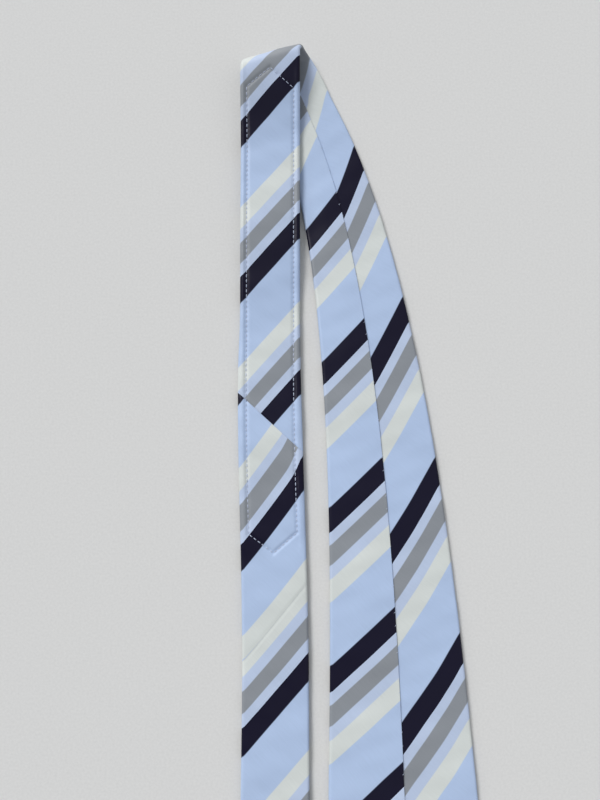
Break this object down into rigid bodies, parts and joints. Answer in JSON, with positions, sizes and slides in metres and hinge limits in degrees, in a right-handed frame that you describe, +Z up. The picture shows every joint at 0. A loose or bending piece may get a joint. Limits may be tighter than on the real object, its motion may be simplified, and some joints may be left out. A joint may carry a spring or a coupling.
{
  "type": "striped necktie",
  "caption": "Striped silk necktie folded once across the neck, wide blade below with its back up, narrow blade above with its front up.",
  "frame": {"origin": "middle of the folded tie's box, on the surface it lies on", "axes": "+Y from the tips towards the fold, +X across the tie with the wide blade on that side, +Z up from the surface"},
  "size_m": [0.155, 0.8012, 0.0175],
  "materials": {
    "striped_silk": "woven silk with a soft sheen, light blue with navy, cream and grey bands",
    "interlining_wool": "matt napped wool",
    "tipping_silk": "smooth lining silk",
    "sewing_thread": "twisted thread"
  },
  "bodies": {
    "wide_half": {"wide_panel": "striped_silk", "wide_interlining": "interlining_wool", "wide_tipping": "tipping_silk", "wide_slip_stitch": "sewing_thread", "wide_bar_tack": "sewing_thread", "keeper_loop": "striped_silk", "keeper_tack_left": "sewing_thread", "keeper_tack_right": "sewing_thread"},
    "narrow_half": {"wide_panel_neck_end": "striped_silk", "neck_panel": "striped_silk", "narrow_panel": "striped_silk", "neck_seam": "sewing_thread", "tail_seam": "sewing_thread", "narrow_interlining": "interlining_wool", "neck_stay": "interlining_wool", "neck_topstitch": "sewing_thread", "narrow_tipping": "tipping_silk", "narrow_slip_stitch": "sewing_thread", "narrow_bar_tack": "sewing_thread"}
  },
  "joints": [
    {"name": "neck_fold", "type": "hinge", "parent": "wide_half", "child": "narrow_half", "pos_m": [-0.0565, 0.3959, 0.0085], "axis": [-0.9613, -0.2756, 0], "range_deg": [0, 180]}
  ]
}
